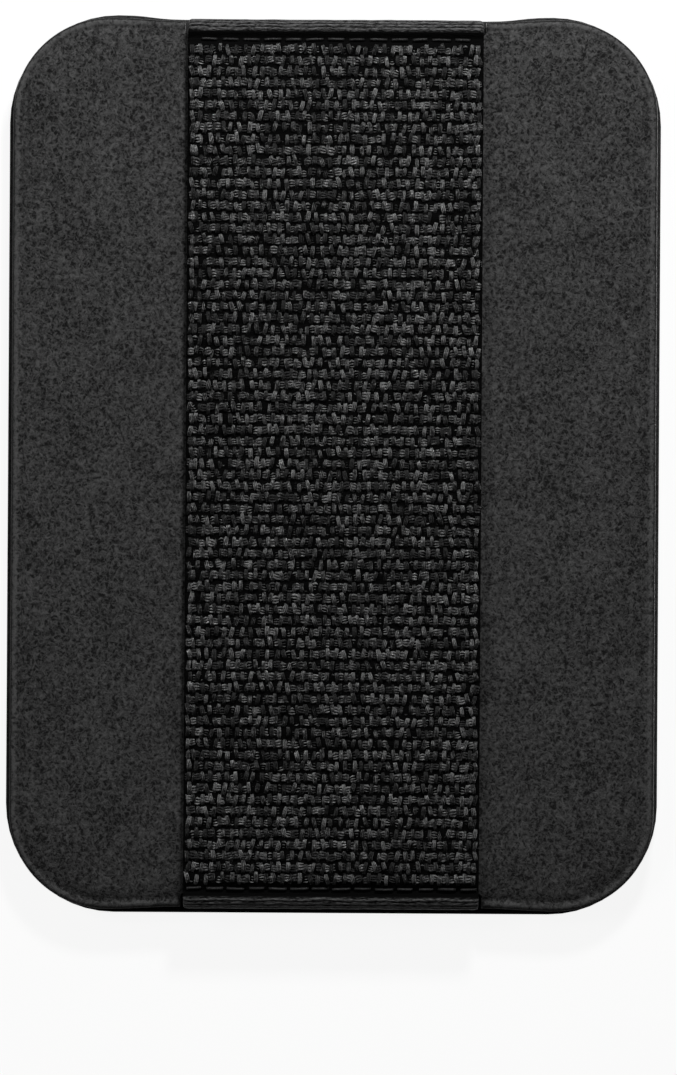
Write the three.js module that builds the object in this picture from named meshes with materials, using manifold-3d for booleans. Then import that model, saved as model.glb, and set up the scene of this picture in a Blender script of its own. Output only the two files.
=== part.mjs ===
// Phone finger strap: a flat padded panel that sticks to the back of a phone, with one wide woven
// elastic band lying over it from end to end. Fingers slide in from either side, between the band
// and the panel. Millimetres. The adhesive face lies on z = 0, the band faces +Z and runs along Y.

import * as THREE from 'three';
import { mergeVertices } from 'three/addons/utils/BufferGeometryUtils.js';
import Module from 'manifold-3d';

// Overall outline, which is the base panel's
const padWidth = 62;
const padLength = 85.4;
const baseCornerRadius = 10.3;
const topRelief = 0.4; // how far the top edge dips behind the band
const shoulderHalfWidth = 21; // where an end starts to dip towards the band

// Layers, from the phone outwards
const adhesiveThickness = 0.5;
const adhesiveInset = 1;
const baseThickness = 0.6;
const baseEdgeRound = 0.12;
const coreThickness = 1; // the band's pressed tails are as thick as the core board they lie in
const coreClearance = 0.3;
const coreMargin = 1.7; // wall of the front panel round the core board

// Front panel: a rim, a pressed line inside it and a pillowed face
const frontInset = 0.4; // how far the base panel shows past the front panel
const frontCornerRadius = 9.2;
const frontRelief = 0.25;
const rimHeight = 1.1; // above the core board
const rimRound = 0.24;
const rimWidth = 0.72;
const pressedLineWidth = 0.34;
const pressedLineDepth = 0.22;
const pillowRise = 0.4; // above the rim
const pillowRound = 2.2;

// Elastic band
const bandWidth = 28;
const bandThickness = 1.2;
const bandEndInset = 0.5; // from the end of the pad to the outside of the band's bend
const bandSideClearance = 0.3;
const bandEdgeRound = 0.34; // of its long edges
const bandCornerRadius = 0.6; // in plan, where it turns down at each end
const bandPanelClearance = 0.3;
const bandTailLength = 12; // glued length under the front panel
const upperBendRadius = 1.6;
const lowerBendRadius = 1.3;
const innerTopRadius = 0.5;
const innerTailRadius = 0.2;
const notchCornerRadius = 0.5; // of the front panel's notches for the band
const slotCornerRadius = 0.2; // of the slots for its tails

// Weave ribs across the band, and the sewn line pressed into it near each end
const ribPitch = 1.06;
const ribHeight = 0.28;
const seamFromEnd = 1.95;
const seamWidth = 1.5;
const seamDepth = 0.5;
const samplesPerRib = 4;

const arcSegments = 6;
const bevelSteps = 3;
const cutMargin = 2; // how far a cutting block runs past what it cuts

// Levels and places that follow from the sizes above
const baseBottom = adhesiveThickness;
const baseTop = baseBottom + baseThickness;
const coreTop = baseTop + coreThickness;
const rimTop = coreTop + rimHeight;
const pillowTop = rimTop + pillowRise;
const bandUnderside = pillowTop + bandPanelClearance;
const bandTop = bandUnderside + bandThickness;
const bandEnd = padLength / 2 - bandEndInset;
const bandInnerEnd = bandEnd - bandThickness;
const notchEnd = bandInnerEnd - bandPanelClearance;
const notchHalfWidth = bandWidth / 2 + bandSideClearance;
const tailStart = notchEnd - bandTailLength;

const wasm = await Module();
wasm.setup();

// A closed three.js geometry as a solid that can be joined and cut
function toSolid(geometry) {
  const bare = geometry.clone();
  bare.deleteAttribute('normal');
  bare.deleteAttribute('uv');
  const merged = mergeVertices(bare, 1e-5);
  const vertProperties = new Float32Array(merged.attributes.position.array);
  const triVerts = new Uint32Array(merged.index.array);
  return new wasm.Manifold(new wasm.Mesh({ numProp: 3, vertProperties, triVerts }));
}

function toGeometry(solid) {
  const mesh = solid.getMesh();
  const geometry = new THREE.BufferGeometry();
  geometry.setAttribute('position', new THREE.BufferAttribute(mesh.vertProperties, 3));
  geometry.setIndex(new THREE.BufferAttribute(mesh.triVerts, 1));
  geometry.computeVertexNormals();
  return geometry;
}

function namedMesh(name, geometry, color, roughness) {
  const material = new THREE.MeshStandardMaterial({ color, roughness, metalness: 0 });
  const mesh = new THREE.Mesh(geometry, material);
  mesh.name = name;
  return mesh;
}

// A rounded rectangle whose two ends may dip between the shoulders, moved in by inset all round
function panelOutline({ width, length, corner, inset = 0, top = 0, bottom = 0 }) {
  const x = width / 2 - inset;
  const y = length / 2 - inset;
  const r = corner - inset;
  const shoulder = Math.min(shoulderHalfWidth, x - r);
  const notch = notchHalfWidth;
  const reach = (shoulder - notch) / 2;
  const outline = new THREE.Shape();
  outline.moveTo(-x, r - y);
  outline.absarc(r - x, r - y, r, Math.PI, 1.5 * Math.PI, false);
  outline.lineTo(-shoulder, -y);
  outline.bezierCurveTo(reach - shoulder, -y, -notch - reach, bottom - y, -notch, bottom - y);
  outline.lineTo(notch, bottom - y);
  outline.bezierCurveTo(notch + reach, bottom - y, shoulder - reach, -y, shoulder, -y);
  outline.absarc(x - r, r - y, r, 1.5 * Math.PI, 2 * Math.PI, false);
  outline.absarc(x - r, y - r, r, 0, 0.5 * Math.PI, false);
  outline.lineTo(shoulder, y);
  outline.bezierCurveTo(shoulder - reach, y, notch + reach, y - top, notch, y - top);
  outline.lineTo(-notch, y - top);
  outline.bezierCurveTo(-notch - reach, y - top, reach - shoulder, y, -shoulder, y);
  outline.absarc(r - x, y - r, r, 0.5 * Math.PI, Math.PI, false);
  return outline;
}

// A plate of the outline between two levels, its edges rounded inwards by size and height
function plate(outline, bottom, top, { size = 0, height = size } = {}) {
  const geometry = new THREE.ExtrudeGeometry(outline, {
    depth: top - bottom - 2 * height,
    bevelEnabled: size > 0,
    bevelSize: size,
    bevelOffset: -size,
    bevelThickness: height,
    bevelSegments: bevelSteps,
    curveSegments: arcSegments,
  });
  geometry.translate(0, 0, bottom + height);
  return geometry;
}

function roundedRectangle(width, length, corner) {
  const x = width / 2 - corner;
  const y = length / 2 - corner;
  const outline = new THREE.Shape();
  outline.absarc(x, y, corner, 0, 0.5 * Math.PI, false);
  outline.absarc(-x, y, corner, 0.5 * Math.PI, Math.PI, false);
  outline.absarc(-x, -y, corner, Math.PI, 1.5 * Math.PI, false);
  outline.absarc(x, -y, corner, 1.5 * Math.PI, 2 * Math.PI, false);
  return outline;
}

// A cutting block at both ends of the pad, from y = start outwards, its corners rounded in plan
function blocksAtBothEnds(start, bottom, top, corner) {
  const far = padLength / 2 + cutMargin;
  const outline = roundedRectangle(2 * notchHalfWidth, far - start, corner);
  const block = plate(outline, bottom, top).translate(0, (start + far) / 2, 0);
  const opposite = block.clone().rotateZ(Math.PI);
  return toSolid(block).add(toSolid(opposite));
}

const baseShape = { width: padWidth, length: padLength, corner: baseCornerRadius, top: topRelief };
const frontShape = {
  width: padWidth - 2 * frontInset,
  length: padLength - 2 * frontInset,
  corner: frontCornerRadius,
  top: frontRelief,
  bottom: frontRelief,
};

function makeAdhesiveSheet() {
  return plate(panelOutline({ ...baseShape, inset: adhesiveInset }), 0, baseBottom);
}

function makeBasePanel() {
  return plate(panelOutline(baseShape), baseBottom, baseTop, { size: baseEdgeRound });
}

// The stiffener, cut away at both ends for the band's tails
function makeCoreBoard() {
  const inset = coreMargin + coreClearance;
  const board = toSolid(plate(panelOutline({ ...frontShape, inset }), baseTop, coreTop));
  const cutStart = tailStart - coreClearance;
  const [below, above] = [baseTop - cutMargin, coreTop + cutMargin];
  const cuts = blocksAtBothEnds(cutStart, below, above, slotCornerRadius);
  return toGeometry(board.subtract(cuts));
}

// A pressed fabric shell over the core board, notched at both ends where the band goes round it
function makeFrontPanel() {
  const pillowInset = rimWidth + pressedLineWidth;
  const body = toSolid(plate(panelOutline(frontShape), baseTop, rimTop, { size: rimRound }));

  const line = panelOutline({ ...frontShape, inset: rimWidth });
  line.holes.push(panelOutline({ ...frontShape, inset: pillowInset }));
  const pressedLine = toSolid(plate(line, rimTop - pressedLineDepth, rimTop + cutMargin));

  const pillowOutline = panelOutline({ ...frontShape, inset: pillowInset });
  const pillowEdge = { size: pillowRound, height: pillowRise };
  const pillow = toSolid(plate(pillowOutline, rimTop - pillowRise, pillowTop, pillowEdge));

  const below = baseTop - cutMargin;
  const pocketOutline = panelOutline({ ...frontShape, inset: coreMargin });
  const pocket = toSolid(plate(pocketOutline, below, coreTop));
  const notches = blocksAtBothEnds(notchEnd, below, pillowTop + cutMargin, notchCornerRadius);
  const tailSlots = blocksAtBothEnds(tailStart, below, coreTop, slotCornerRadius);

  const shell = body.subtract(pressedLine).add(pillow).subtract(pocket);
  return toGeometry(shell.subtract(notches).subtract(tailSlots));
}

// Half of the band's outer face in the YZ plane, from the middle of its top round to the tail's end
function outerRun() {
  const [upper, lower] = [upperBendRadius, lowerBendRadius];
  const run = new THREE.Path();
  run.moveTo(0, bandTop);
  run.lineTo(bandEnd - upper, bandTop);
  run.absarc(bandEnd - upper, bandTop - upper, upper, Math.PI / 2, 0, true);
  run.lineTo(bandEnd, baseTop + lower);
  run.absarc(bandEnd - lower, baseTop + lower, lower, 0, -Math.PI / 2, true);
  run.lineTo(tailStart, baseTop);
  return run;
}

// Half of the inner face, from the tail's end back to the middle of the underside
function innerRun() {
  const [top, tail] = [innerTopRadius, innerTailRadius];
  const run = new THREE.Path();
  run.moveTo(tailStart, coreTop);
  run.lineTo(bandInnerEnd - tail, coreTop);
  run.absarc(bandInnerEnd - tail, coreTop + tail, tail, -Math.PI / 2, 0, false);
  run.lineTo(bandInnerEnd, bandUnderside - top);
  run.absarc(bandInnerEnd - top, bandUnderside - top, top, 0, Math.PI / 2, false);
  return run;
}

// How deep the weave or the sewn line lies below the band's outer face, at length s from its middle
function weaveDepth(s, seamAt, ribsEnd) {
  const fromSeam = Math.abs(s - seamAt) / (seamWidth / 2);
  if (fromSeam < 1) {
    return seamDepth * Math.cos((fromSeam * Math.PI) / 2) ** 2;
  }
  return s < ribsEnd ? ribHeight * (1 - Math.abs(Math.cos((Math.PI * s) / ribPitch))) : 0;
}

// The section below runs wider than the band and is trimmed to its rounded edges
function makeFingerBand() {
  const run = outerRun();
  const length = run.getLength();
  const [topLength, , ribsEnd] = run.getCurveLengths();
  const seamPastTop = upperBendRadius - seamFromEnd;
  const seamOnBend = upperBendRadius * Math.asin(seamPastTop / upperBendRadius);
  const seamAt = topLength + (seamPastTop > 0 ? seamOnBend : seamPastTop);
  const step = ribPitch / samplesPerRib;
  const outer = [];
  for (let s = 0; s < ribsEnd; s += step) {
    const place = run.getPoint(s / length);
    const along = run.getTangent(s / length);
    const depth = weaveDepth(s, seamAt, ribsEnd);
    outer.push(new THREE.Vector2(place.x + along.y * depth, place.y - along.x * depth));
  }
  const lower = run.curves.slice(3).flatMap((curve) => curve.getPoints(arcSegments));
  const half = [...outer, ...lower, ...innerRun().getPoints(arcSegments)];
  const mirrored = half.slice(1).reverse().map((point) => new THREE.Vector2(-point.x, point.y));
  const section = new THREE.Shape([...half, ...mirrored]);
  const wide = bandWidth + 2 * cutMargin;
  const geometry = new THREE.ExtrudeGeometry(section, { depth: wide, bevelEnabled: false });
  const toYZ = new THREE.Matrix4().makeBasis(
    new THREE.Vector3(0, 1, 0),
    new THREE.Vector3(0, 0, 1),
    new THREE.Vector3(1, 0, 0),
  );
  geometry.applyMatrix4(toYZ);
  geometry.translate(-wide / 2, 0, 0);
  const outline = roundedRectangle(bandWidth, 2 * bandEnd, bandCornerRadius);
  const trim = toSolid(plate(outline, baseTop, bandTop, { size: bandEdgeRound }));
  return toGeometry(toSolid(geometry).intersect(trim));
}

const fingerStrap = new THREE.Group();
fingerStrap.add(namedMesh('adhesive_sheet', makeAdhesiveSheet(), 0x2a2a2c, 0.6));
fingerStrap.add(namedMesh('base_panel', makeBasePanel(), 0x343434, 0.7));
fingerStrap.add(namedMesh('core_board', makeCoreBoard(), 0x6b6256, 0.8));
fingerStrap.add(namedMesh('front_panel', makeFrontPanel(), 0x303030, 0.95));
fingerStrap.add(namedMesh('finger_band', makeFingerBand(), 0x161616, 0.7));

export default fingerStrap;
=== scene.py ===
import math

import bmesh
import bpy
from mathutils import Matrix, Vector, noise


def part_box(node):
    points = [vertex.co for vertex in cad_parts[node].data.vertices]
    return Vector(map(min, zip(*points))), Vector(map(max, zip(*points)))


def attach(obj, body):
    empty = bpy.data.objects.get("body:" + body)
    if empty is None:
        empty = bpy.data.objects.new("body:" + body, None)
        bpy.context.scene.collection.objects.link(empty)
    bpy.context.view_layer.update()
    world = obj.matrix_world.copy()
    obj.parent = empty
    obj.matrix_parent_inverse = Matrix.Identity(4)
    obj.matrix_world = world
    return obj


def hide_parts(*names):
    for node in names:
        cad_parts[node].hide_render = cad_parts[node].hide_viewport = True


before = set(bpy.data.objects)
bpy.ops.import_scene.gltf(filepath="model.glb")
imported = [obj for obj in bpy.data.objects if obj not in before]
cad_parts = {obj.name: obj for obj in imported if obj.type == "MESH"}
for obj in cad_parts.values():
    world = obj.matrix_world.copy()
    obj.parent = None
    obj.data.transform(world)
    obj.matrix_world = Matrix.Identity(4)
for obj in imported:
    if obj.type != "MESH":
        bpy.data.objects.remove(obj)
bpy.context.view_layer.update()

mm = 0.001
scene = bpy.context.scene
noise.seed_set(8)  # without it, noise_vector starts from the clock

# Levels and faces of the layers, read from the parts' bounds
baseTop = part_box("base_panel")[1].z
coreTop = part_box("core_board")[1].z
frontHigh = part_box("front_panel")[1]
bandLow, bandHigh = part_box("finger_band")


def makeObject(name, mesh):
    piece = bpy.data.objects.new(name, mesh)
    scene.collection.objects.link(piece)
    return piece


def finishMesh(bm, name):
    bmesh.ops.remove_doubles(bm, verts=bm.verts, dist=1e-7)
    bmesh.ops.recalc_face_normals(bm, faces=bm.faces)
    mesh = bpy.data.meshes.new(name)
    bm.to_mesh(mesh)
    bm.free()
    for face in mesh.polygons:
        face.use_smooth = True
    return mesh


def bakeModifiers(piece):
    # the evaluated result becomes a plain mesh under the same name
    depsgraph = bpy.context.evaluated_depsgraph_get()
    result = bpy.data.meshes.new_from_object(piece.evaluated_get(depsgraph))
    name = piece.name
    bpy.data.objects.remove(piece)
    result.name = name
    return makeObject(name, result)


def smoothStep(t):
    t = min(max(t, 0), 1)
    return t * t * (3 - 2 * t)


def onArc(cx, cy, radius, turn):
    # a point of a circle, with turn counted in half turns
    angle = turn * math.pi
    return cx + radius * math.cos(angle), cy + radius * math.sin(angle)


# Padded front panel: rings of one outline, moved inwards and up or down
frontPad = {
    "cornerRadius": 9.2 * mm,
    "cornerSteps": 28,
    "sideSteps": 90,
    "endSteps": 90,
    "relief": 0.25 * mm,  # how far both ends dip towards the band
    "shoulderHalfWidth": 21 * mm,
    "reliefHalfWidth": 14.3 * mm,
    "wall": 1.7 * mm,  # round the core board
    "rise": 0.4 * mm,  # of the face above the rim
    "waver": 0.03 * mm,
    "waverScale": 160,
    "evenEdge": 0.2 * mm,  # height above the base panel that doesn't waver
    # the painted highlight lies along the rim between these insets
    "rimHighlightStart": 0.05 * mm,
    "rimWidth": 0.52 * mm,
    # the painted shade lies on the outer wall within this inset
    "wallShadeWidth": 0.04 * mm,
    "fade": 0.22 * mm,  # of the painted rim highlight and the painted wall shade
    "notchHalfWidth": 14.3 * mm,
    "notchFromEnd": 1.5 * mm,  # from the outside of the band's bend
    "notchRound": 0.5 * mm,
    "notchSteps": 6,
    "tailSlotLength": 12 * mm,
    "cutPast": 3 * mm,  # how far a cutter runs past the panel's end
}


def frontOutline(inset):
    s = frontPad
    x, y, r = frontHigh.x - inset, frontHigh.y - inset, s["cornerRadius"] - inset
    points = []
    corners = [(x - r, r - y, 1.5), (x - r, y - r, 0), (r - x, y - r, 0.5), (r - x, r - y, 1)]
    for index, (cx, cy, start) in enumerate(corners):
        for step in range(s["cornerSteps"]):
            points.append(onArc(cx, cy, r, start + 0.5 * step / s["cornerSteps"]))
        nx, ny, following = corners[(index + 1) % 4]
        x0, y0 = onArc(cx, cy, r, start + 0.5)
        x1, y1 = onArc(nx, ny, r, following)
        steps = s["sideSteps"] if index % 2 == 0 else s["endSteps"]
        for step in range(steps):
            t = step / steps
            points.append((x0 + (x1 - x0) * t, y0 + (y1 - y0) * t))
    span = s["shoulderHalfWidth"] - s["reliefHalfWidth"]
    dipped = []
    for px, py in points:
        dip = s["relief"] * smoothStep((s["shoulderHalfWidth"] - abs(px)) / span)
        near = smoothStep((abs(py) - (y - r)) / (0.5 * r))  # 0 along the sides, 1 at the ends
        dipped.append((px, py - math.copysign(dip * near, py)))
    return dipped


def makeFrontPad():
    s = frontPad
    rimTop = frontHigh.z - s["rise"]
    profile = [  # inset and level, from the core board's pocket round the rim to the face
        (9.0 * mm, coreTop), (s["wall"], coreTop), (s["wall"], baseTop), (0.30 * mm, baseTop),
        (0.14 * mm, baseTop + 0.04 * mm), (0.04 * mm, baseTop + 0.14 * mm),
        (0, baseTop + 0.35 * mm), (0, rimTop - 0.5 * mm), (0.03 * mm, rimTop - 0.34 * mm),
        (0.1 * mm, rimTop - 0.2 * mm),
        (0.22 * mm, rimTop - 0.08 * mm), (0.36 * mm, rimTop - 0.01 * mm),
        (0.5 * mm, rimTop + 0.01 * mm), (0.62 * mm, rimTop - 0.01 * mm),
        (0.74 * mm, rimTop - 0.06 * mm), (0.86 * mm, rimTop - 0.08 * mm),
        (0.98 * mm, rimTop - 0.06 * mm), (1.14 * mm, rimTop + 0.01 * mm),
        (1.35 * mm, rimTop + 0.09 * mm), (1.6 * mm, rimTop + 0.17 * mm),
        (2.0 * mm, rimTop + 0.25 * mm), (2.5 * mm, rimTop + 0.32 * mm),
        (3.2 * mm, rimTop + 0.37 * mm), (4.2 * mm, rimTop + 0.395 * mm), (6.0 * mm, frontHigh.z),
        (9.0 * mm, frontHigh.z),
    ]
    bm = bmesh.new()
    # the felt's colour carries a painted highlight along the rim
    pressed = bm.verts.layers.float.new("pressed")
    # the felt's colour carries painted shade on its outer wall
    edge = bm.verts.layers.float.new("cutEdge")
    rings = []
    for inset, level in profile:
        pastStart = smoothStep((inset - s["rimHighlightStart"]) / s["fade"])
        rimHighlightShare = pastStart - smoothStep((inset - s["rimWidth"]) / s["fade"])
        cutEdge = 1 - smoothStep((inset - s["wallShadeWidth"]) / s["fade"])
        wavers = baseTop + s["evenEdge"] < level < frontHigh.z
        ring = []
        for x, y in frontOutline(inset):
            # the felt wavers by its full amount up and down, and by half of it sideways
            shift = noise.noise_vector(Vector((x, y, level)) * s["waverScale"]) * s["waver"]
            lift = shift.z if wavers else 0
            corner = bm.verts.new((x + shift.x * 0.5, y + shift.y * 0.5, level + lift))
            corner[pressed] = rimHighlightShare
            corner[edge] = cutEdge
            ring.append(corner)
        rings.append(ring)
    for lower, upper in zip(rings, rings[1:]):
        for index in range(len(lower)):
            after = (index + 1) % len(lower)
            bm.faces.new((lower[index], lower[after], upper[after], upper[index]))
    bm.faces.new(rings[0])
    bm.faces.new(rings[-1])
    piece = makeObject("front_pad", finishMesh(bm, "front_pad"))

    notchEnd = bandHigh.y - s["notchFromEnd"]
    cutters = []
    for side in (1, -1):
        cutters.append(makeCutter(side, notchEnd, baseTop - mm, frontHigh.z + mm, s["notchRound"]))
        cutters.append(makeCutter(side, notchEnd - s["tailSlotLength"], baseTop - mm, coreTop, 0))
    for cutter in cutters:
        cut = piece.modifiers.new("notch", "BOOLEAN")
        cut.operation = "DIFFERENCE"
        cut.solver = "EXACT"
        cut.object = cutter
    piece = bakeModifiers(piece)
    for cutter in cutters:
        bpy.data.objects.remove(cutter)
    return piece


def makeCutter(side, start, low, high, rounding):
    # a block from y = start outwards past the panel's end, its inner corners rounded
    half, steps = frontPad["notchHalfWidth"], frontPad["notchSteps"]
    far = frontHigh.y + frontPad["cutPast"]
    outline = [(-half, far), (half, far)]
    if rounding:
        for cx, first in ((half - rounding, 0), (rounding - half, -0.5)):
            for step in range(steps + 1):
                outline.append(onArc(cx, start + rounding, rounding, first - 0.5 * step / steps))
    else:
        outline += [(half, start), (-half, start)]
    bm = bmesh.new()
    lower = [bm.verts.new((x, side * y, low)) for x, y in outline]
    upper = [bm.verts.new((x, side * y, high)) for x, y in outline]
    bm.faces.new(lower)
    bm.faces.new(upper)
    for index in range(len(outline)):
        after = (index + 1) % len(outline)
        bm.faces.new((lower[index], lower[after], upper[after], upper[index]))
    return makeObject("cutter", finishMesh(bm, "cutter"))


# Woven elastic band: its run is a flat top, a bend at each end and two pressed tails
band = {
    "thickness": 1.2 * mm,
    "upperBend": 1.6 * mm,
    "lowerBend": 1.3 * mm,
    "innerTopRadius": 0.5 * mm,
    "innerTailRadius": 0.2 * mm,
    "panelClearance": 0.3 * mm,
    "tailLength": 12 * mm,
    "weftPitch": 1.06 * mm,  # ribs along the band
    "warpPitch": 0.41 * mm,  # yarn columns across it
    "groundDrop": 0.34 * mm,  # from the top of the floats to the ground weave
    "weftHeight": 0.08 * mm,
    "seamFromEnd": 1.95 * mm,
    "seamWidth": 1.5 * mm,
    "seamDepth": 0.3 * mm,
    "clearAroundSeam": 0.8 * mm,  # no floats here
    "selvedge": 0.5 * mm,  # of the width, free of yarn columns
    "beadStart": 0.5 * mm,  # past the seam
    "beadEnd": 2.7 * mm,  # past the seam
    "beadFadeIn": 0.7 * mm,
    "beadFadeOut": 0.4 * mm,
    "beadRise": 0.26 * mm,
    "beadWaver": 0.05 * mm,
    "beadNoise": (500, 1500, 5),  # scale across, scale along and slice
    "cordPitch": 0.34 * mm,  # weft cords packed side by side on the bead
    "cordHeight": 0.045 * mm,
    "cordWander": 0.35,  # how far a cord strays, as a share of its pitch
    "edgeRound": 0.34 * mm,
    "edgeStops": (0, 0.12, 0.4, 1),  # rows of points, as shares of the rounded edge
    "flatStops": 16,  # from a rounded edge to the middle
    "stopsPerRib": 8,
    "fineBeforeSeam": 1 * mm,
    "fineStop": 0.05 * mm,  # step over the seam and the bead
    "tailStop": 0.4 * mm,
}


def bandRun(drop):
    # the outer face in the YZ plane, sunk by drop, by the length from the middle of the top:
    # where a length lies, the whole length, the length that shows and the seam's place
    top, end = bandHigh.z - drop, bandHigh.y - drop
    upper, lower = band["upperBend"] - drop, band["lowerBend"] - drop
    bottom = bandLow.z + drop
    wall = top - upper - (bottom + lower)
    tail = bandHigh.y - band["thickness"] - band["panelClearance"] - band["tailLength"]
    flat, bendTop, bendLow = end - upper, upper * math.pi / 2, lower * math.pi / 2

    def place(s):
        side = -1 if s < 0 else 1
        s = abs(s)
        if s < flat:
            y, z, ny, nz = s, top, 0, 1
        elif s < flat + bendTop:
            angle = (s - flat) / upper
            ny, nz = math.sin(angle), math.cos(angle)
            y, z = flat + upper * ny, top - upper + upper * nz
        elif s < flat + bendTop + wall:
            y, z, ny, nz = end, top - upper - (s - flat - bendTop), 1, 0
        elif s < flat + bendTop + wall + bendLow:
            angle = (s - flat - bendTop - wall) / lower
            ny, nz = math.cos(angle), -math.sin(angle)
            y, z = end - lower + lower * ny, bottom + lower + lower * nz
        else:
            y, z, ny, nz = end - lower - (s - flat - bendTop - wall - bendLow), bottom, 0, -1
        return Vector((0, side * y, z)), Vector((0, side * ny, nz))

    length = flat + bendTop + wall + bendLow + (end - lower - tail)
    visible = flat + bendTop + wall + 0.5 * bendLow
    return place, length, visible, bandHigh.y - band["seamFromEnd"]


def seamDip(s, seam):
    # how deep the sewn line presses into the band
    away = abs(abs(s) - seam) / (band["seamWidth"] / 2)
    return band["seamDepth"] * math.cos(away * math.pi / 2) ** 2 if away < 1 else 0


def runStops(length, visible, seam):
    # lengths along the run: even steps under the floats, fine ones over the seam and the bead
    stops = [0]
    while stops[-1] < length - 1e-9:
        at = stops[-1]
        step = band["weftPitch"] / band["stopsPerRib"]
        if at > seam - band["fineBeforeSeam"]:
            step = band["fineStop"] if at < visible else band["tailStop"]
        stops.append(min(at + step, length))
    return [-at for at in reversed(stops[1:])] + stops


def beadShare(s, seam):
    # 1 on the bead of packed yarn between the seam and the end wall, 0 away from it
    pastStart = smoothStep((abs(s) - seam - band["beadStart"]) / band["beadFadeIn"])
    beforeEnd = smoothStep((seam + band["beadEnd"] - abs(s)) / band["beadFadeOut"])
    return pastStart * beforeEnd


def makeBandGround():
    # the ribbed cloth under the yarn floats, one closed solid with rounded long edges
    place, length, visible, seam = bandRun(band["groundDrop"])
    half, rounding, stops = bandHigh.x, band["edgeRound"], band["flatStops"]
    noiseAcross, noiseAlong, noiseSlice = band["beadNoise"]
    across = [-half + rounding * t for t in band["edgeStops"]]
    across += [-half + rounding + (half - rounding) * t / stops for t in range(1, stops)] + [0]
    across += [-x for x in reversed(across[:-1])]
    bm = bmesh.new()
    # the bead's share also paints it a lighter grey, a painted highlight where the bend catches the
    # light
    beadHighlightLayer = bm.verts.layers.float.new("bead")
    outer, inner = [], []
    innerPlace = innerRun()
    for s in runStops(length, visible, seam):
        spot, normal = place(s)
        bead = beadShare(s, seam)
        onRib = 0.5 + 0.5 * math.cos(2 * math.pi * s / band["weftPitch"])
        rib = onRib if abs(s) < seam else 0
        depth = seamDip(s, seam) - band["weftHeight"] * rib - band["beadRise"] * bead
        row = []
        for x in across:
            edge = max(0, 1 - (half - abs(x)) / rounding)
            sink = depth + rounding * (1 - math.sqrt(max(0, 1 - edge * edge)))
            waver = noise.noise(Vector((x * noiseAcross, s * noiseAlong, noiseSlice)))
            cord = math.cos(2 * math.pi * (s / band["cordPitch"] + band["cordWander"] * waver))
            sink += (waver * band["beadWaver"] - cord * band["cordHeight"]) * bead
            p = spot - normal * sink
            point = bm.verts.new((x, p.y, p.z))
            point[beadHighlightLayer] = smoothStep(bead * 4) * (0.8 + 0.2 * cord)  # painted highlight on the bead, with painted shade between the cords
            row.append(point)
        outer.append(row)
        p = innerPlace(s / length)
        inner.append([bm.verts.new((x, p.y, p.z)) for x in across])
    for sheet, flip in ((outer, False), (inner, True)):
        for a, b in zip(sheet, sheet[1:]):
            for i in range(len(across) - 1):
                corners = (a[i], a[i + 1], b[i + 1], b[i])
                bm.faces.new(corners if not flip else tuple(reversed(corners)))
    for i in (0, -1):
        for a, b, c, d in zip(outer, outer[1:], inner[1:], inner):
            bm.faces.new((a[i], b[i], c[i], d[i]))
    for k in (0, -1):
        for i in range(len(across) - 1):
            bm.faces.new((outer[k][i], outer[k][i + 1], inner[k][i + 1], inner[k][i]))
    return makeObject("band_ground", finishMesh(bm, "band_ground")), length


def innerRun():
    # the inner face by the share of the run, so that it keeps step with the outer face
    under = bandHigh.z - band["thickness"]
    end = bandHigh.y - band["thickness"]
    top, low = band["innerTopRadius"], band["innerTailRadius"]
    tail = end - band["panelClearance"] - band["tailLength"]
    bend = [math.pi / 12 * step for step in range(7)]
    points = [(0, under), (end - top, under)]
    points += [(end - top + top * math.sin(a), under - top + top * math.cos(a)) for a in bend[1:]]
    points += [(end - low + low * math.cos(a), coreTop + low - low * math.sin(a)) for a in bend]
    points.append((tail, coreTop))
    lengths = [0]
    for (y0, z0), (y1, z1) in zip(points, points[1:]):
        lengths.append(lengths[-1] + math.hypot(y1 - y0, z1 - z0))

    def place(share):
        want = min(abs(share), 1) * lengths[-1]
        for index in range(1, len(lengths)):
            if want <= lengths[index] + 1e-12:
                t = (want - lengths[index - 1]) / (lengths[index] - lengths[index - 1])
                y = points[index - 1][0] + (points[index][0] - points[index - 1][0]) * t
                z = points[index - 1][1] + (points[index][1] - points[index - 1][1]) * t
                return Vector((0, math.copysign(y, share), z))
        return Vector((0, math.copysign(points[-1][0], share), points[-1][1]))

    return place


# A float is a bundle of yarn strands: warp floats arch over a rib, weft floats lie between them
warpFloat = {
    "strands": 3,
    "length": 1.04 * mm,
    "width": 0.44 * mm,
    "arch": 0.22 * mm,
    "strandHeight": 0.18 * mm,
    "steps": 3,
    "sides": 3,
    "lift": 0.02 * mm,
    "stagger": 0,
    "turn": 0,
    "jitter": 0.13 * mm,
    "skew": 1.0,
    "seed": 4,
}
weftFloat = {
    "strands": 3,
    "length": 0.6 * mm,
    "width": 0.78 * mm,
    "arch": 0.1 * mm,
    "strandHeight": 0.2 * mm,
    "steps": 2,
    "sides": 3,
    "lift": 0,
    "stagger": 1,
    "turn": math.pi / 2,
    "jitter": 0.13 * mm,
    "skew": 1.0,
    "seed": 5,
}
# A stitch of thread, laid across the band in the pressed seam
stitch = {
    "strands": 1,
    "length": 1.6 * mm,
    "width": 0.28 * mm,
    "arch": 0.06 * mm,
    "strandHeight": 0.28 * mm,
    "steps": 6,
    "sides": 6,
    "lift": 0.12 * mm,
    "turn": math.pi / 2,
    "jitter": 0.04 * mm,
    "skew": 0.15,
    "seed": 11,
    "halfPitch": 1.0 * mm,
    "margin": 1.0 * mm,  # of the width, free of stitches
    "clear": 1.0,  # further than the run is long, so no stitch is left out
}
# A strand in a float of any kind
strandShape = {
    "edgeFall": 0.25,  # how far the outer strands lie lower, as a share of the arch
    "gather": 0.28,  # how far the strands draw together at the ends
    "halfWidth": 0.52,  # of its share of the width
    "halfHeight": 0.62,  # of the strand height
}


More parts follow.
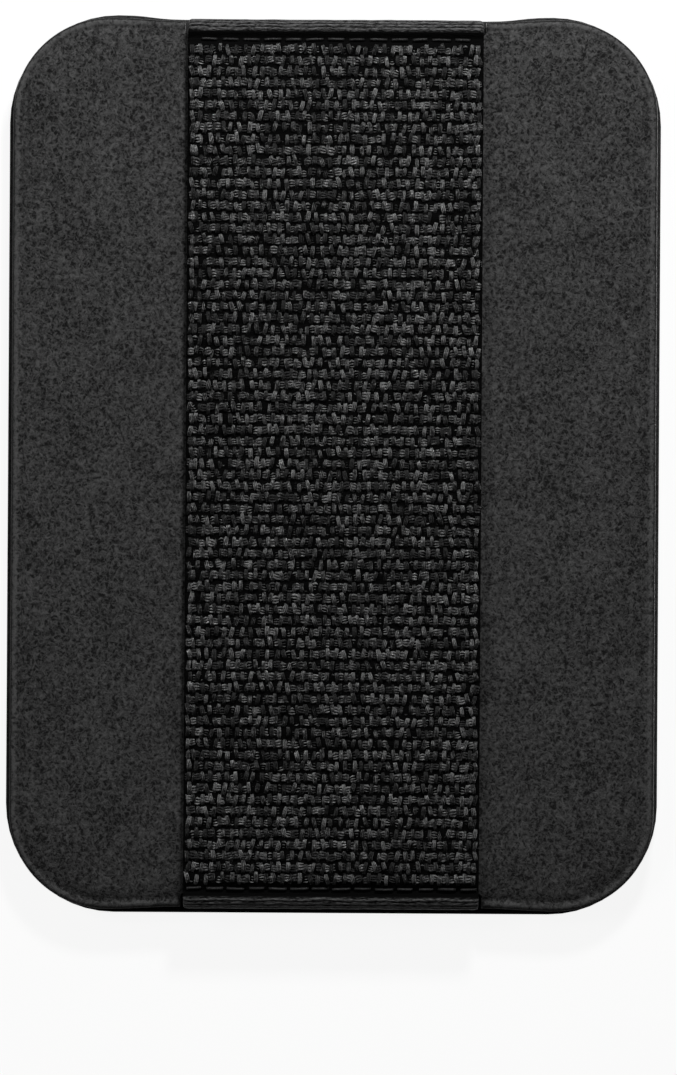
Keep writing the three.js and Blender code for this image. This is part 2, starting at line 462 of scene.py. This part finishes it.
def makeFloatMesh(s):
    bm = bmesh.new()
    strandWidth = s["width"] / s["strands"]
    for strand in range(s["strands"]):
        centre = (strand + 0.5) * strandWidth - s["width"] / 2
        fall = strandShape["edgeFall"] * s["arch"] * (centre / s["width"] * 2) ** 2
        rings = []
        for step in range(s["steps"] + 1):
            t = step / s["steps"] * 2 - 1
            y = t * s["length"] / 2
            crown = s["arch"] * (1 - t * t) - fall
            gather = 1 - strandShape["gather"] * t * t
            ring = []
            for side in range(s["sides"]):
                angle = (side / s["sides"] + 0.25) * 2 * math.pi  # one corner points up
                x = centre * gather + strandShape["halfWidth"] * strandWidth * math.cos(angle)
                z = crown + strandShape["halfHeight"] * s["strandHeight"] * math.sin(angle)
                ring.append(bm.verts.new((x, y, z)))
            rings.append(ring)
        for a, b in zip(rings, rings[1:]):
            for i in range(s["sides"]):
                j = (i + 1) % s["sides"]
                bm.faces.new((a[i], a[j], b[j], b[i]))
        bm.faces.new(rings[0])
        bm.faces.new(rings[-1])
    return finishMesh(bm, "float_bundle")


def makeRunCurve(name, drop):
    # the band's outer line as an open curve along +Y, for sampling by length
    place, _, visible, seam = bandRun(drop)
    count = int(2 * visible / band["fineStop"])
    curve = bpy.data.curves.new(name, "CURVE")
    curve.dimensions = "3D"
    spline = curve.splines.new("POLY")
    spline.points.add(count)
    for index in range(count + 1):
        s = -visible + 2 * visible * index / count
        spot, normal = place(s)
        spot = spot - normal * seamDip(s, seam)
        spline.points[index].co = (0, spot.y, spot.z, 1)
    return makeObject(name, curve), visible, seam


def addInput(tree, name, kind, value=None):
    socket = tree.interface.new_socket(name=name, in_out="INPUT", socket_type=kind)
    if value is not None:
        socket.default_value = value


def node(tree, kind, **settings):
    made = tree.nodes.new(kind)
    for key, value in settings.items():
        setattr(made, key, value)
    return made


def calc(tree, operation, a, b=None):
    # a Math node on sockets or plain numbers
    made = node(tree, "ShaderNodeMath", operation=operation)
    for socket, value in zip(made.inputs, (a, b)):
        if isinstance(value, (int, float)):
            socket.default_value = value
        elif value is not None:
            tree.links.new(value, socket)
    return made.outputs[0]


# How far single floats differ from each other
floatSpread = {
    "turnMost": (0.16, 0.22, 0.3),
    "sizeLeast": (0.86, 0.85, 0.7),
    "sizeMost": (1.12, 1.12, 1.15),
}


def floatTree():
    # places a float on every other crossing of columns and ribs, staggered, along the band's run
    tree = bpy.data.node_groups.new("woven floats", "GeometryNodeTree")
    addInput(tree, "Run", "NodeSocketGeometry")
    addInput(tree, "Float", "NodeSocketObject")
    addInput(tree, "Material", "NodeSocketMaterial")
    for name in ("Column pitch", "Row pitch", "Clear from", "Clear to", "Jitter", "Skew", "Turn",
                 "Stagger", "Edge"):
        addInput(tree, name, "NodeSocketFloat", 0.0)
    for name in ("Columns", "Rows", "Seed"):
        addInput(tree, name, "NodeSocketInt", 1)
    tree.interface.new_socket(name="Geometry", in_out="OUTPUT", socket_type="NodeSocketGeometry")
    link = tree.links.new
    source = node(tree, "NodeGroupInput").outputs

    def seedPlus(shift):
        return calc(tree, "ADD", source["Seed"], shift)

    def halfOf(value):
        return calc(tree, "MULTIPLY", value, 0.5)

    def spanOf(count, pitch):
        return calc(tree, "MULTIPLY", calc(tree, "SUBTRACT", source[count], 1), source[pitch])

    def numberAt(place, span, pitch):
        # the column or row at this place, counted from the first
        fromFirst = calc(tree, "ADD", place, halfOf(span))
        return calc(tree, "ROUND", calc(tree, "DIVIDE", fromFirst, source[pitch]))

    def randomVector(least, most, seed):
        made = node(tree, "FunctionNodeRandomValue", data_type="FLOAT_VECTOR")
        made.inputs["Min"].default_value = least
        made.inputs["Max"].default_value = most
        link(seed, made.inputs["Seed"])
        return made.outputs[0]

    def scaled(vector, factor):
        made = node(tree, "ShaderNodeVectorMath", operation="SCALE")
        link(vector, made.inputs[0])
        link(factor, made.inputs["Scale"])
        return made.outputs[0]

    def added(first, second):
        made = node(tree, "ShaderNodeVectorMath", operation="ADD")
        link(first, made.inputs[0])
        link(second, made.inputs[1])
        return made.outputs[0]

    def onAxis(axis, value):
        made = node(tree, "ShaderNodeCombineXYZ")
        link(value, made.inputs[axis])
        return made.outputs[0]

    def turned(rotation, angles):
        made = node(tree, "FunctionNodeRotateRotation", rotation_space="LOCAL")
        link(rotation, made.inputs[0])
        link(angles, made.inputs[1])
        return made.outputs[0]

    # a flat grid of columns and ribs, with a random shade kept on each crossing
    width, length = spanOf("Columns", "Column pitch"), spanOf("Rows", "Row pitch")
    grid = node(tree, "GeometryNodeMeshGrid")
    link(width, grid.inputs["Size X"])
    link(length, grid.inputs["Size Y"])
    link(source["Columns"], grid.inputs["Vertices X"])
    link(source["Rows"], grid.inputs["Vertices Y"])
    spot = node(tree, "ShaderNodeSeparateXYZ")
    link(node(tree, "GeometryNodeInputPosition").outputs[0], spot.inputs[0])
    x, s = spot.outputs["X"], spot.outputs["Y"]
    store = node(tree, "GeometryNodeStoreNamedAttribute", data_type="FLOAT", domain="POINT")
    store.inputs["Name"].default_value = "yarnTone"
    link(grid.outputs["Mesh"], store.inputs["Geometry"])
    tone = node(tree, "FunctionNodeRandomValue", data_type="FLOAT")
    link(seedPlus(3), tone.inputs["Seed"])
    link(tone.outputs[1], store.inputs["Value"])

    # its place and slope on the run
    runLength = node(tree, "GeometryNodeCurveLength")
    link(source["Run"], runLength.inputs[0])
    sample = node(tree, "GeometryNodeSampleCurve", mode="LENGTH", use_all_curves=True)
    link(source["Run"], sample.inputs["Curves"])
    link(calc(tree, "ADD", s, halfOf(runLength.outputs[0])), sample.inputs["Length"])
    tangent = node(tree, "ShaderNodeSeparateXYZ")
    link(sample.outputs["Tangent"], tangent.inputs[0])
    tilt = calc(tree, "ARCTAN2", tangent.outputs["Z"], tangent.outputs["Y"])

    # every other crossing; the edge columns hold a float on every row, as a selvedge does
    crossing = calc(tree, "ADD", numberAt(x, width, "Column pitch"),
                    numberAt(s, length, "Row pitch"))
    crossing = calc(tree, "ADD", crossing, source["Stagger"])
    staggered = calc(tree, "LESS_THAN", calc(tree, "MODULO", crossing, 2), 0.5)
    edgeAt = calc(tree, "SUBTRACT", halfOf(width), halfOf(source["Column pitch"]))
    onEdge = calc(tree, "GREATER_THAN", calc(tree, "ABSOLUTE", x), edgeAt)
    wanted = calc(tree, "MAXIMUM", staggered, calc(tree, "MULTIPLY", onEdge, source["Edge"]))

    # none between "Clear from" and "Clear to", counted from the middle of the run
    run = calc(tree, "ABSOLUTE", s)
    onTop = calc(tree, "LESS_THAN", run, source["Clear from"])
    onEnd = calc(tree, "GREATER_THAN", run, source["Clear to"])
    wanted = calc(tree, "MULTIPLY", wanted, calc(tree, "ADD", onTop, onEnd))

    wander = scaled(randomVector((-1, -1, -1), (1, 1, 1), source["Seed"]), source["Jitter"])
    move = node(tree, "GeometryNodeSetPosition")
    link(store.outputs[0], move.inputs["Geometry"])
    link(added(added(sample.outputs["Position"], onAxis("X", x)), wander), move.inputs["Position"])

    leaned = node(tree, "FunctionNodeEulerToRotation")
    link(onAxis("X", tilt), leaned.inputs[0])
    turnMost = floatSpread["turnMost"]
    skew = randomVector([-angle for angle in turnMost], turnMost, seedPlus(1))
    rotation = turned(leaned.outputs[0], onAxis("Z", source["Turn"]))
    rotation = turned(rotation, scaled(skew, source["Skew"]))
    size = randomVector(floatSpread["sizeLeast"], floatSpread["sizeMost"], seedPlus(2))

    bundle = node(tree, "GeometryNodeObjectInfo")
    link(source["Float"], bundle.inputs["Object"])
    instances = node(tree, "GeometryNodeInstanceOnPoints")
    link(move.outputs[0], instances.inputs["Points"])
    link(wanted, instances.inputs["Selection"])
    link(bundle.outputs["Geometry"], instances.inputs["Instance"])
    link(rotation, instances.inputs["Rotation"])
    link(size, instances.inputs["Scale"])
    realize = node(tree, "GeometryNodeRealizeInstances")
    link(instances.outputs[0], realize.inputs[0])
    finish = node(tree, "GeometryNodeSetMaterial")
    link(source["Material"], finish.inputs["Material"])
    link(realize.outputs[0], finish.inputs["Geometry"])
    link(finish.outputs[0], node(tree, "NodeGroupOutput").inputs[0])
    return tree


def addNodes(piece, tree, values):
    # values are given by the inputs' names and set by their identifiers
    modifier = piece.modifiers.new(tree.name, "NODES")
    modifier.node_group = tree
    for item in tree.interface.items_tree:
        if item.item_type == "SOCKET" and item.in_out == "INPUT" and item.name in values:
            modifier[item.identifier] = values[item.name]


def makeBandYarns(name, shape, tree, material):
    run, visible, seam = makeRunCurve(name, band["groundDrop"] - shape["lift"])
    bundle = makeObject("float_bundle", makeFloatMesh(shape))
    addNodes(run, tree, {
        "Float": bundle,
        "Material": material,
        "Turn": shape["turn"],
        "Stagger": float(shape["stagger"]),
        "Edge": 1.0 - shape["stagger"],
        "Column pitch": band["warpPitch"],
        "Row pitch": band["weftPitch"],
        "Clear from": seam - band["clearAroundSeam"],
        "Clear to": seam + band["beadEnd"],
        "Jitter": shape["jitter"],
        "Skew": shape["skew"],
        "Columns": round((2 * bandHigh.x - band["selvedge"]) / band["warpPitch"]),
        "Rows": 2 * int(visible / band["weftPitch"]) + 1,
        "Seed": shape["seed"],
    })
    piece = bakeModifiers(run)
    bpy.data.objects.remove(bundle)
    return piece


def makeSeamStitches(tree, material):
    # the tree keeps every other place, so the pitch is half the distance between stitches
    run, _, seam = makeRunCurve("seam_stitches", band["groundDrop"] - stitch["lift"])
    thread = makeObject("thread", makeFloatMesh(stitch))
    addNodes(run, tree, {
        "Float": thread,
        "Material": material,
        "Turn": stitch["turn"],
        "Column pitch": stitch["halfPitch"],
        "Row pitch": 2 * seam,
        "Clear from": stitch["clear"],
        "Clear to": stitch["clear"],
        "Jitter": stitch["jitter"],
        "Skew": stitch["skew"],
        "Columns": int((2 * bandHigh.x - stitch["margin"]) / stitch["halfPitch"]),
        "Rows": 2,
        "Seed": stitch["seed"],
    })
    piece = bakeModifiers(run)
    bpy.data.objects.remove(thread)
    return piece


# Materials
def shaderGroup(name, inputs, outputs):
    group = bpy.data.node_groups.new(name, "ShaderNodeTree")
    for label, kind, value in inputs:
        addInput(group, label, kind, value)
    for label, kind in outputs:
        group.interface.new_socket(name=label, in_out="OUTPUT", socket_type=kind)
    return group


def noiseNode(tree, place, scale, detail, rough=0.5, distortion=0.0):
    # scale is a number or a socket
    made = node(tree, "ShaderNodeTexNoise")
    made.inputs["Detail"].default_value = detail
    made.inputs["Roughness"].default_value = rough
    made.inputs["Distortion"].default_value = distortion
    tree.links.new(place, made.inputs["Vector"])
    if isinstance(scale, (int, float)):
        made.inputs["Scale"].default_value = scale
    else:
        tree.links.new(scale, made.inputs["Scale"])
    return made.outputs["Fac"]


def stretched(tree, place, angle, ratio):
    # turns a pattern by the angle and draws it out along its own Y, the more the smaller the ratio
    made = node(tree, "ShaderNodeMapping", vector_type="TEXTURE")
    made.inputs["Rotation"].default_value = (0, 0, angle)
    made.inputs["Scale"].default_value = (1, 1 / ratio, 1)
    tree.links.new(place, made.inputs["Vector"])
    return made.outputs[0]


def offMiddle(tree, noiseValue, strength):
    # a noise or random value as a shift of the shade, up and down
    return calc(tree, "MULTIPLY", calc(tree, "SUBTRACT", noiseValue, 0.5), strength)


fibreAngles = (0.35, 1.45, 2.5)  # three layers of fibres in the felt
fibreStretch = 0.5
filamentStretch = 0.12
beadStretch = 0.22


def makeFibreGroup():
    # short matted fibres lying every way, with slow blotches of shade
    group = shaderGroup(
        "matted fibres",
        [("Fibre scale", "NodeSocketFloat", 3000.0), ("Blotch", "NodeSocketFloat", 0.2)],
        [("Shade", "NodeSocketFloat"), ("Height", "NodeSocketFloat")],
    )
    link = group.links.new
    source = node(group, "NodeGroupInput").outputs
    place = node(group, "ShaderNodeTexCoord").outputs["Object"]
    a, b, c = [
        noiseNode(group, stretched(group, place, angle, fibreStretch), source["Fibre scale"],
                  detail=2, distortion=0.9)
        for angle in fibreAngles
    ]
    highest = calc(group, "MAXIMUM", calc(group, "MAXIMUM", a, b), c)
    mean = calc(group, "MULTIPLY", calc(group, "ADD", calc(group, "ADD", a, b), c), 1 / 3)
    fine = calc(group, "MULTIPLY", calc(group, "ADD", highest, mean), 0.5)
    slow = noiseNode(group, place, scale=260, detail=3, rough=0.55)
    out = node(group, "NodeGroupOutput").inputs
    link(calc(group, "ADD", fine, offMiddle(group, slow, source["Blotch"])), out["Shade"])
    link(fine, out["Height"])
    return group


def makeStrandGroup():
    # fine filaments along Y, with loose fibres, a shade for each yarn and smaller patches
    group = shaderGroup(
        "yarn filaments",
        [("Filaments per metre", "NodeSocketFloat", 9000.0), ("Fray", "NodeSocketFloat", 0.5),
         ("Tone", "NodeSocketFloat", 0.8), ("Patch", "NodeSocketFloat", 1.0)],
        [("Shade", "NodeSocketFloat"), ("Height", "NodeSocketFloat")],
    )
    link = group.links.new
    source = node(group, "NodeGroupInput").outputs
    place = node(group, "ShaderNodeTexCoord").outputs["Object"]
    lines = noiseNode(group, stretched(group, place, 0, filamentStretch),
                      source["Filaments per metre"], detail=1)
    loose = noiseNode(group, place, scale=4200, detail=2, rough=0.6, distortion=0.6)
    patch = noiseNode(group, place, scale=2600, detail=1, distortion=0.4)
    yarnTone = node(group, "ShaderNodeAttribute", attribute_name="yarnTone").outputs["Fac"]
    tone = calc(group, "ADD", offMiddle(group, yarnTone, source["Tone"]),
                offMiddle(group, patch, source["Patch"]))
    filament = calc(group, "ADD", lines, offMiddle(group, loose, source["Fray"]))
    out = node(group, "NodeGroupOutput").inputs
    link(calc(group, "ADD", filament, tone), out["Shade"])
    link(filament, out["Height"])
    return group


def newMaterial(name, roughness, **sockets):
    material = bpy.data.materials.new(name)
    material.use_nodes = True
    shader = material.node_tree.nodes["Principled BSDF"]
    shader.inputs["Roughness"].default_value = roughness
    for label, value in sockets.items():
        shader.inputs[label.replace("_", " ")].default_value = value
    return material, material.node_tree, shader


def greyRamp(tree, factor, start, dark, end, light):
    # from the dark grey at start to the light one at end
    ramp = node(tree, "ShaderNodeValToRGB")
    for element, at, value in zip(ramp.color_ramp.elements, (start, end), (dark, light)):
        element.position, element.color = at, (value, value, value, 1)
    tree.links.new(factor, ramp.inputs[0])
    return ramp.outputs["Color"]


def bumped(tree, shader, height, depth):
    bump = node(tree, "ShaderNodeBump")
    bump.inputs["Distance"].default_value = depth
    bump.inputs["Strength"].default_value = 1
    tree.links.new(height, bump.inputs["Height"])
    tree.links.new(bump.outputs[0], shader.inputs["Normal"])


# Finishes: dark and light are linear greys, bump is the depth of the grain, and the rim's lift is a
# painted highlight along the felt's rim
felts = {
    "felt face": {"dark": 0.003, "light": 0.052, "scale": 3600, "blotch": 0.15,
                  "bump": 0.13 * mm, "rimHighlightLift": 0.09},
    "base sheet": {"dark": 0.006, "light": 0.03, "scale": 5000, "blotch": 0.15,
                   "bump": 0.05 * mm, "rimHighlightLift": 0},
    "fibreboard": {"dark": 0.09, "light": 0.16, "scale": 1500, "blotch": 0.2,
                   "bump": 0.03 * mm, "rimHighlightLift": 0},
}
wallShadeLevel = -0.4  # painted shade: the felt's outer wall is darker
yarns = {
    "band yarn": {"dark": 0.0003, "light": 0.16, "roughness": 0.25, "bump": 0.22 * mm,
                  "gloss": 0.5, "tone": 0.9},
    "seam thread": {"dark": 0.001, "light": 0.012, "roughness": 0.45, "bump": 0.05 * mm,
                    "gloss": 0.25, "tone": 0.2},
}
yarnFray = 0.9
filamentsPerMetre = 9000
dullRoughness = 0.75  # where a yarn's shade is darkest
groundFinish = {
    "dark": 0.0003,
    # the painted highlight grey of the beads
    "light": 0.09,
    "bump": 0.08 * mm,
    "roughness": 0.95,
    "beadGloss": 0.55,  # taken from the roughness on the beads
}
tackyGrey = 0.03


def makeFelt(fibres, name):
    s = felts[name]
    material, tree, shader = newMaterial(
        name, roughness=0.95, Sheen_Weight=0.22, Sheen_Roughness=0.35, Specular_IOR_Level=0.15)
    use = node(tree, "ShaderNodeGroup", node_tree=fibres)
    use.inputs["Fibre scale"].default_value = s["scale"]
    use.inputs["Blotch"].default_value = s["blotch"]
    # painted highlight along the rim, lighter in the colour
    rim = node(tree, "ShaderNodeAttribute", attribute_name="pressed").outputs["Fac"]
    # painted shade on the outer wall, darker in the colour
    edge = node(tree, "ShaderNodeAttribute", attribute_name="cutEdge").outputs["Fac"]
    shade = calc(tree, "ADD", use.outputs["Shade"], calc(tree, "MULTIPLY", rim, s["rimHighlightLift"]))
    shade = calc(tree, "ADD", shade, calc(tree, "MULTIPLY", edge, wallShadeLevel))
    colour = greyRamp(tree, shade, start=0.44, dark=s["dark"], end=0.68, light=s["light"])
    tree.links.new(colour, shader.inputs["Base Color"])
    bumped(tree, shader, use.outputs["Height"], s["bump"])
    return material


def makeYarn(strands, name):
    s = yarns[name]
    material, tree, shader = newMaterial(name, s["roughness"], Specular_IOR_Level=s["gloss"])
    use = node(tree, "ShaderNodeGroup", node_tree=strands)
    use.inputs["Filaments per metre"].default_value = filamentsPerMetre
    use.inputs["Fray"].default_value = yarnFray
    use.inputs["Tone"].default_value = s["tone"]
    use.inputs["Patch"].default_value = 2 * s["tone"]
    colour = greyRamp(tree, use.outputs["Shade"], start=0.35, dark=s["dark"], end=1.05,
                      light=s["light"])
    tree.links.new(colour, shader.inputs["Base Color"])
    dull = node(tree, "ShaderNodeMapRange")
    dull.inputs["From Min"].default_value = 0.3
    dull.inputs["From Max"].default_value = 0.8
    dull.inputs["To Min"].default_value = dullRoughness
    dull.inputs["To Max"].default_value = s["roughness"]
    tree.links.new(use.outputs["Shade"], dull.inputs["Value"])
    tree.links.new(dull.outputs[0], shader.inputs["Roughness"])
    bumped(tree, shader, use.outputs["Height"], s["bump"])
    return material


def makeGround(name):
    # the ground weave, dark under the floats and streaked along X on the end beads, which are
    # painted a lighter grey as a painted highlight of the bend catching the light
    s = groundFinish
    material, tree, shader = newMaterial(name, roughness=0.9, Specular_IOR_Level=0.06)
    place = node(tree, "ShaderNodeTexCoord").outputs["Object"]
    streaks = noiseNode(tree, stretched(tree, place, math.pi / 2, beadStretch), filamentsPerMetre,
                        detail=2, rough=0.6)
    # the beads' share: a lighter grey as a painted highlight, and glossier
    bead = node(tree, "ShaderNodeAttribute", attribute_name="bead").outputs["Fac"]
    shade = calc(tree, "MULTIPLY", streaks, bead)
    colour = greyRamp(tree, shade, start=0.3, dark=s["dark"], end=0.66, light=s["light"])
    tree.links.new(colour, shader.inputs["Base Color"])
    gloss = calc(tree, "MULTIPLY", bead, s["beadGloss"])
    tree.links.new(calc(tree, "SUBTRACT", s["roughness"], gloss), shader.inputs["Roughness"])
    bumped(tree, shader, streaks, s["bump"])
    return material


def makeTacky(name):
    # cloudy, with a gloss that comes and goes
    material, tree, shader = newMaterial(name, roughness=0.35)
    place = node(tree, "ShaderNodeTexCoord").outputs["Object"]
    cloud = noiseNode(tree, place, scale=180, detail=4, rough=0.6)
    colour = greyRamp(tree, cloud, start=0.3, dark=tackyGrey * 0.8, end=0.7,
                      light=tackyGrey * 1.2)
    tree.links.new(colour, shader.inputs["Base Color"])
    roughness = node(tree, "ShaderNodeMapRange")
    roughness.inputs["To Min"].default_value = 0.28
    roughness.inputs["To Max"].default_value = 0.5
    tree.links.new(noiseNode(tree, place, scale=900, detail=3), roughness.inputs["Value"])
    tree.links.new(roughness.outputs[0], shader.inputs["Roughness"])
    bumped(tree, shader, noiseNode(tree, place, scale=700, detail=4, rough=0.6), 0.04 * mm)
    return material


# Camera, floor and lamps
view = {
    "frameWidth": 677,
    "frameHeight": 1075,
    "pixel": 0.0948 * mm,  # on the object's face
    "objectAt": (333, 464.5),  # the object's centre in the frame
    "distance": 0.55,
    "sensor": 24,
    "roll": 0.35,  # degrees
}
studio = {
    "floorHalfSize": 3,
    "floorAt": -0.02 * mm,  # just clear of the adhesive face
    "floorGrey": 0.8,
    "floorGlow": 0.9,  # how much of it the camera sees as plain white
    "worldLight": 0.03,
}
lamps = {
    "key": {"place": (0.04, 0.18, 0.15), "aim": (0, 0.01, 0), "size": (0.04, 0.03), "watts": 0.74},
    "fill": {"place": (-0.25, 0.1, 0.3), "aim": (0, 0, 0), "size": (0.12, 0.12), "watts": 0.55},
}


def makeCamera():
    s = view
    aimX = (s["frameWidth"] / 2 - s["objectAt"][0]) * s["pixel"]
    aimY = (s["objectAt"][1] - s["frameHeight"] / 2) * s["pixel"]
    data = bpy.data.cameras.new("camera")
    data.sensor_fit = "VERTICAL"
    data.sensor_height = s["sensor"]
    data.lens = s["sensor"] * s["distance"] / (s["frameHeight"] * s["pixel"])
    camera = bpy.data.objects.new("camera", data)
    camera.location = (aimX, aimY, frontHigh.z + s["distance"])
    camera.rotation_euler = (0, 0, math.radians(s["roll"]))
    scene.collection.objects.link(camera)
    scene.camera = camera


def makeFloor():
    bm = bmesh.new()
    bmesh.ops.create_grid(bm, x_segments=1, y_segments=1, size=studio["floorHalfSize"])
    floor = makeObject("floor", finishMesh(bm, "floor"))
    floor.location.z = studio["floorAt"]
    material = bpy.data.materials.new("pale floor")
    material.use_nodes = True
    tree = material.node_tree
    tree.nodes.clear()
    cloth = node(tree, "ShaderNodeBsdfDiffuse")
    cloth.inputs["Color"].default_value = (*[studio["floorGrey"]] * 3, 1)
    glow = node(tree, "ShaderNodeEmission")
    glow.inputs["Strength"].default_value = 1
    rays = node(tree, "ShaderNodeLightPath")
    seen = calc(tree, "MAXIMUM", rays.outputs["Is Camera Ray"], rays.outputs["Is Glossy Ray"])
    mix = node(tree, "ShaderNodeMixShader")
    tree.links.new(calc(tree, "MULTIPLY", seen, studio["floorGlow"]), mix.inputs[0])
    tree.links.new(cloth.outputs[0], mix.inputs[1])
    tree.links.new(glow.outputs[0], mix.inputs[2])
    tree.links.new(mix.outputs[0], node(tree, "ShaderNodeOutputMaterial").inputs[0])
    floor.data.materials.append(material)


def makeLamp(name, place, aim, size, watts):
    data = bpy.data.lights.new(name, "AREA")
    data.shape = "RECTANGLE"
    data.size, data.size_y = size
    data.energy = watts
    lamp = bpy.data.objects.new(name, data)
    lamp.location = place
    lamp.rotation_euler = (Vector(aim) - Vector(place)).to_track_quat("-Z", "Y").to_euler()
    scene.collection.objects.link(lamp)


def makeLight():
    scene.view_settings.view_transform = "Standard"
    world = bpy.data.worlds.new("studio")
    world.use_nodes = True
    tree = world.node_tree
    back = tree.nodes["Background"]
    rays = node(tree, "ShaderNodeLightPath")
    strength = calc(tree, "MAXIMUM", rays.outputs["Is Camera Ray"], studio["worldLight"])
    tree.links.new(strength, back.inputs["Strength"])
    back.inputs["Color"].default_value = (1, 1, 1, 1)
    scene.world = world
    for name, lamp in lamps.items():
        makeLamp(name, **lamp)


def dress(piece, material, *replaced, slot):
    piece.data.materials.clear()
    piece.data.materials.append(material)
    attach(piece, "root")
    if replaced:
        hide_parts(*replaced)


makeCamera()
makeFloor()
makeLight()
print("camera, floor and lamps done")

fibres, strands = makeFibreGroup(), makeStrandGroup()
felt = makeFelt(fibres, "felt face")
baseCloth = makeFelt(fibres, "base sheet")
board = makeFelt(fibres, "fibreboard")
yarn = makeYarn(strands, "band yarn")
thread = makeYarn(strands, "seam thread")
ground = makeGround("band ground")
tacky = makeTacky("adhesive")
print("materials done")

pad = makeFrontPad()
dress(pad, felt, "front_panel", slot="panel_felt")
print("front pad done,", len(pad.data.polygons), "faces")

cloth, runLength = makeBandGround()
dress(cloth, ground, "finger_band", slot="band_elastic")
woven = floatTree()
warp = makeBandYarns("band_warp", warpFloat, woven, yarn)
weft = makeBandYarns("band_weft", weftFloat, woven, yarn)
stitches = makeSeamStitches(woven, thread)
for piece, material in ((warp, yarn), (weft, yarn), (stitches, thread)):
    dress(piece, material, slot="band_elastic")
print("band done,", round(2 * runLength / mm, 1), "mm long,", len(warp.data.polygons), "warp faces")

for name, material in (("base_panel", baseCloth), ("adhesive_sheet", tacky), ("core_board", board)):
    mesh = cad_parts[name].data
    mesh.materials.clear()
    mesh.materials.append(material)

bpy.context.view_layer.update()
